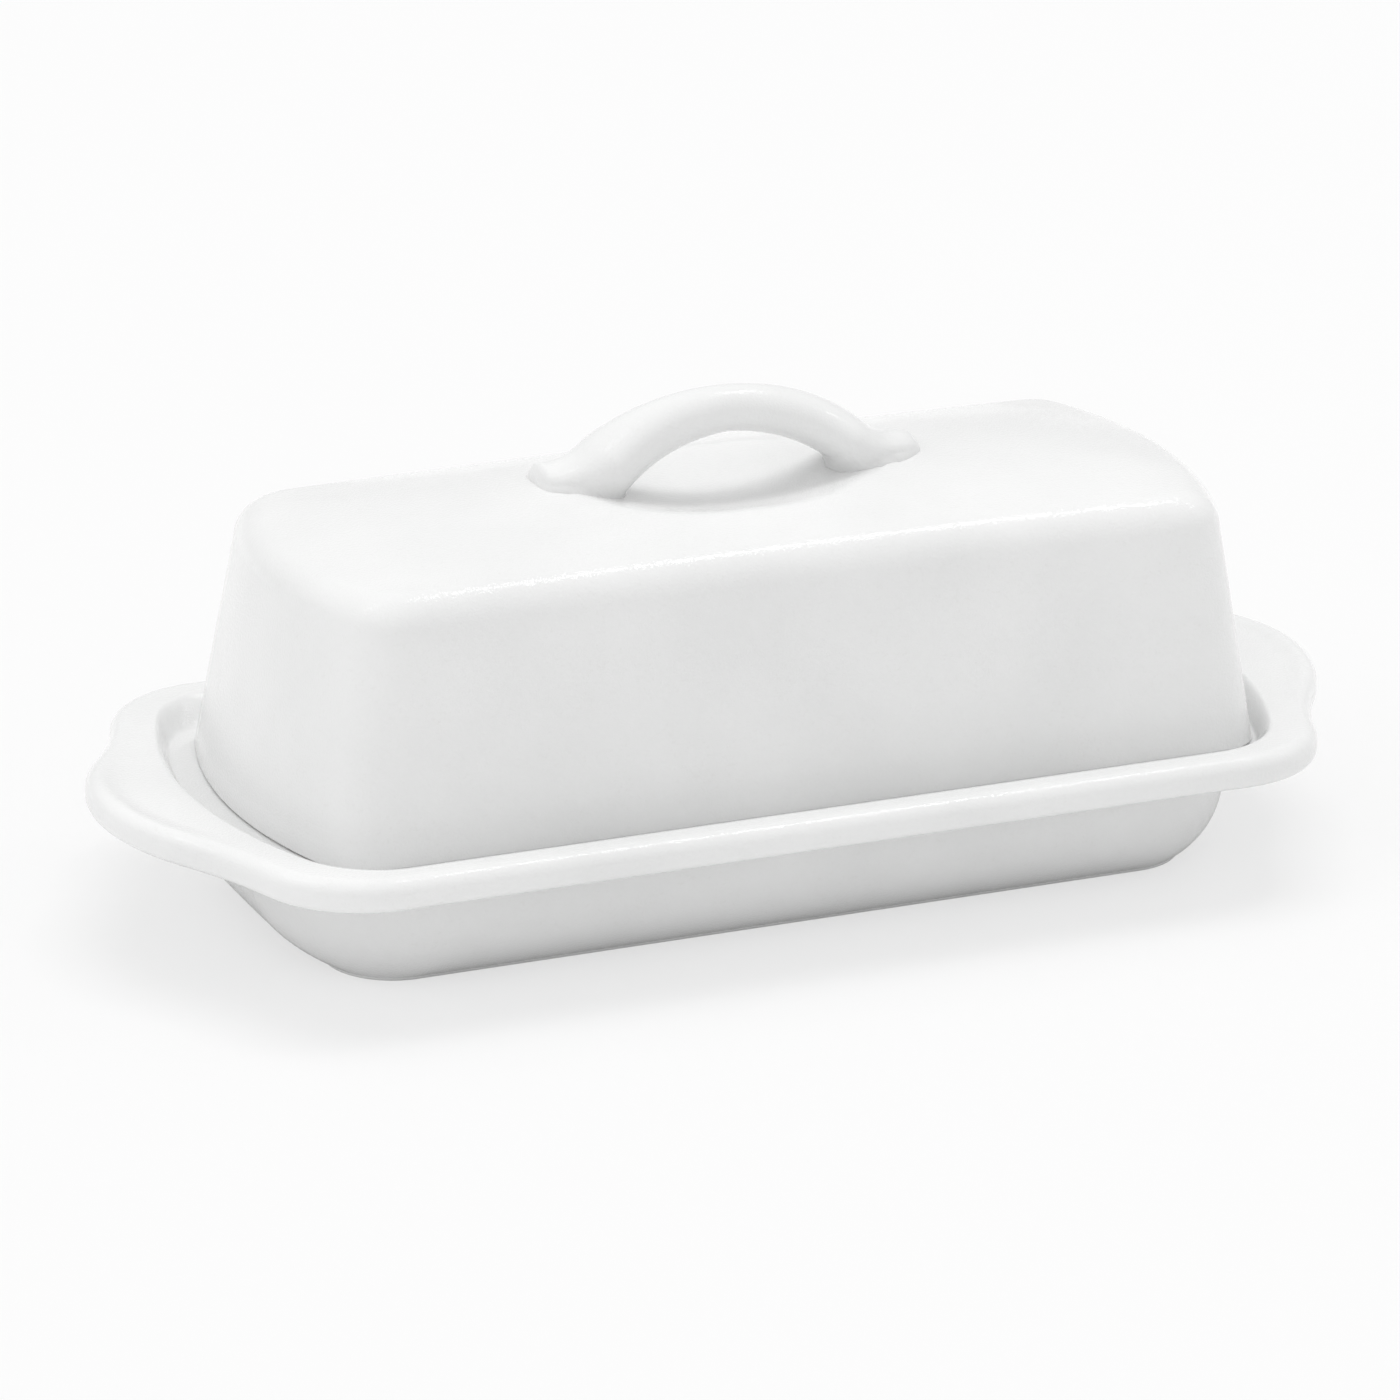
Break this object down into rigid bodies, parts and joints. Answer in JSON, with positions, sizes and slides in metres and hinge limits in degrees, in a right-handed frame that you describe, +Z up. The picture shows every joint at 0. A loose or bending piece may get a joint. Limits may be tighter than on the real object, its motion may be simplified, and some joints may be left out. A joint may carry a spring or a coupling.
{
  "type": "covered butter dish",
  "caption": "Glazed white ceramic butter dish: a long footed dish with a tab at each end, and a domed cover that lifts off by a loop handle over a finger dimple.",
  "frame": {"origin": "on the surface it stands on, under the middle of the dish", "axes": "+X along the dish towards one end tab, +Y across it, +Z up"},
  "size_m": [0.21, 0.096, 0.0809],
  "materials": {
    "dish_glaze": "gloss white glaze",
    "cover_glaze": "gloss white glaze",
    "handle_glaze": "gloss white glaze"
  },
  "bodies": {
    "dish": {"dish": "dish_glaze"},
    "cover": {"cover": "cover_glaze", "handle": "handle_glaze"}
  },
  "joints": [
    {"name": "cover_lift", "type": "slide", "parent": "dish", "child": "cover", "axis": [0, 0, 1], "range_m": [0, 0.12]}
  ]
}
